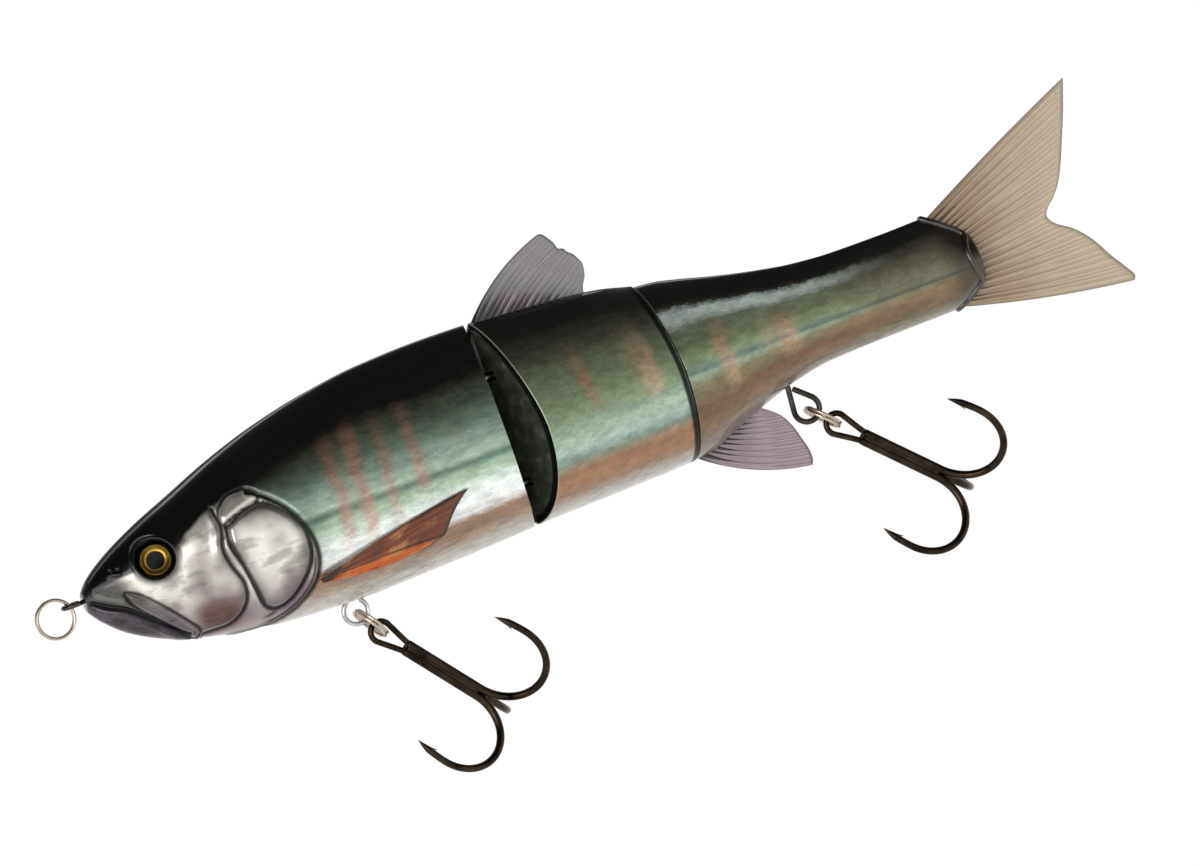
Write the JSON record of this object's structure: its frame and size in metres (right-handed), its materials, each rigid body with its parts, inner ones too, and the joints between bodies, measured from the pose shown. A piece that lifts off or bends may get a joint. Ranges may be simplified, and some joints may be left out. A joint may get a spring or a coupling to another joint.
{
  "type": "swimbait",
  "caption": "Jointed hard-body fish lure with hinged body sections, moulded fins, a line tie and treble hooks on split rings.",
  "frame": {"origin": "middle of the line tie's wire eye, ahead of the nose", "axes": "+X from the nose to the tail along the head section, +Z towards the back with its dorsal fin, -Y the fish's left side"},
  "size_m": [0.2084, 0.0362, 0.0831],
  "materials": {
    "head_paint": "high-gloss clear coat over black back, teal-green iridescent flank with reddish bars, silver gill plates and pale belly",
    "mid_paint": "high-gloss clear coat over black back, olive-green iridescent flank with reddish bars and pale belly",
    "tail_paint": "high-gloss clear coat over black back, olive-green iridescent flank with orange-brown patches",
    "gold_foil": "gold foil iris with a black pupil",
    "clear_lens": "clear domed eye lens",
    "smoky_fin": "translucent smoky pink moulded fin with branching rays",
    "amber_fin": "translucent amber moulded fin with rays and a dark root",
    "tan_fin": "translucent tan soft urethane with raised rays",
    "black_nickel_wire": "black nickel plated wire",
    "silver_wire": "bright stainless wire",
    "ring_steel": "champagne silver split-ring wire",
    "stainless_steel": "plain stainless steel",
    "hook_bronze": "dark bronze black-nickel hook finish",
    "lead": "dull grey cast keel weight"
  },
  "bodies": {
    "head": {"head_shell_left": "head_paint", "head_shell_right": "head_paint", "left_eye_foil": "gold_foil", "left_eye_lens": "clear_lens", "right_eye_foil": "gold_foil", "right_eye_lens": "clear_lens", "left_pectoral_fin": "amber_fin", "right_pectoral_fin": "amber_fin", "line_tie": "black_nickel_wire", "belly_hanger": "silver_wire", "chin_ballast": "lead", "head_ballast": "lead", "front_joint_upper_eye": "stainless_steel", "front_joint_lower_eye": "stainless_steel"},
    "mid": {"mid_shell_left": "mid_paint", "mid_shell_right": "mid_paint", "dorsal_fin": "smoky_fin", "front_joint_pin": "stainless_steel", "mid_ballast": "lead", "rear_joint_upper_eye": "stainless_steel", "rear_joint_lower_eye": "stainless_steel"},
    "tail": {"tail_shell_left": "tail_paint", "tail_shell_right": "tail_paint", "pelvic_fin": "smoky_fin", "rear_joint_pin": "stainless_steel", "tail_ballast": "lead", "rear_hanger": "black_nickel_wire", "tail_pin": "stainless_steel"},
    "tail_fin": {"tail_fin": "tan_fin"},
    "nose_ring": {"nose_ring": "ring_steel"},
    "front_ring": {"front_ring": "ring_steel"},
    "front_hook": {"front_hook": "hook_bronze"},
    "rear_ring": {"rear_ring": "ring_steel"},
    "rear_hook": {"rear_hook": "hook_bronze"}
  },
  "joints": [
    {"name": "front_body_joint", "type": "hinge", "parent": "head", "child": "mid", "pos_m": [0.0854, 0, 0], "axis": [0, 0, 1], "range_deg": [-35, 2]},
    {"name": "rear_body_joint", "type": "hinge", "parent": "mid", "child": "tail", "pos_m": [0.11829, 0.00974, 0], "axis": [0, 0, 1], "range_deg": [0, 37]},
    {"name": "tail_fin_swing", "type": "hinge", "parent": "tail", "child": "tail_fin", "pos_m": [0.16476, 0.00812, 0], "axis": [0, 0, 1], "range_deg": [-8, 8]},
    {"name": "nose_ring_swing", "type": "hinge", "parent": "head", "child": "nose_ring", "pos_m": [-0.0017, 0, 0], "axis": [0, 1, 0], "range_deg": [-43, 100]},
    {"name": "front_ring_swing", "type": "hinge", "parent": "head", "child": "front_ring", "pos_m": [0.0484, 0, -0.02008], "axis": [0.8387, 0, 0.5446], "range_deg": [-50, 50]},
    {"name": "front_hook_swing", "type": "hinge", "parent": "front_ring", "child": "front_hook", "pos_m": [0.05085, 0, -0.02386], "axis": [0, 1, 0], "range_deg": [-22, 95]},
    {"name": "rear_ring_swing", "type": "hinge", "parent": "tail", "child": "rear_ring", "pos_m": [0.13924, 0.00901, -0.01495], "axis": [0.7067, -0.0247, 0.7071], "range_deg": [-50, 50]},
    {"name": "rear_hook_swing", "type": "hinge", "parent": "rear_ring", "child": "rear_hook", "pos_m": [0.14263, 0.00889, -0.01834], "axis": [0.0349, 0.9994, 0], "range_deg": [-20, 60]}
  ]
}
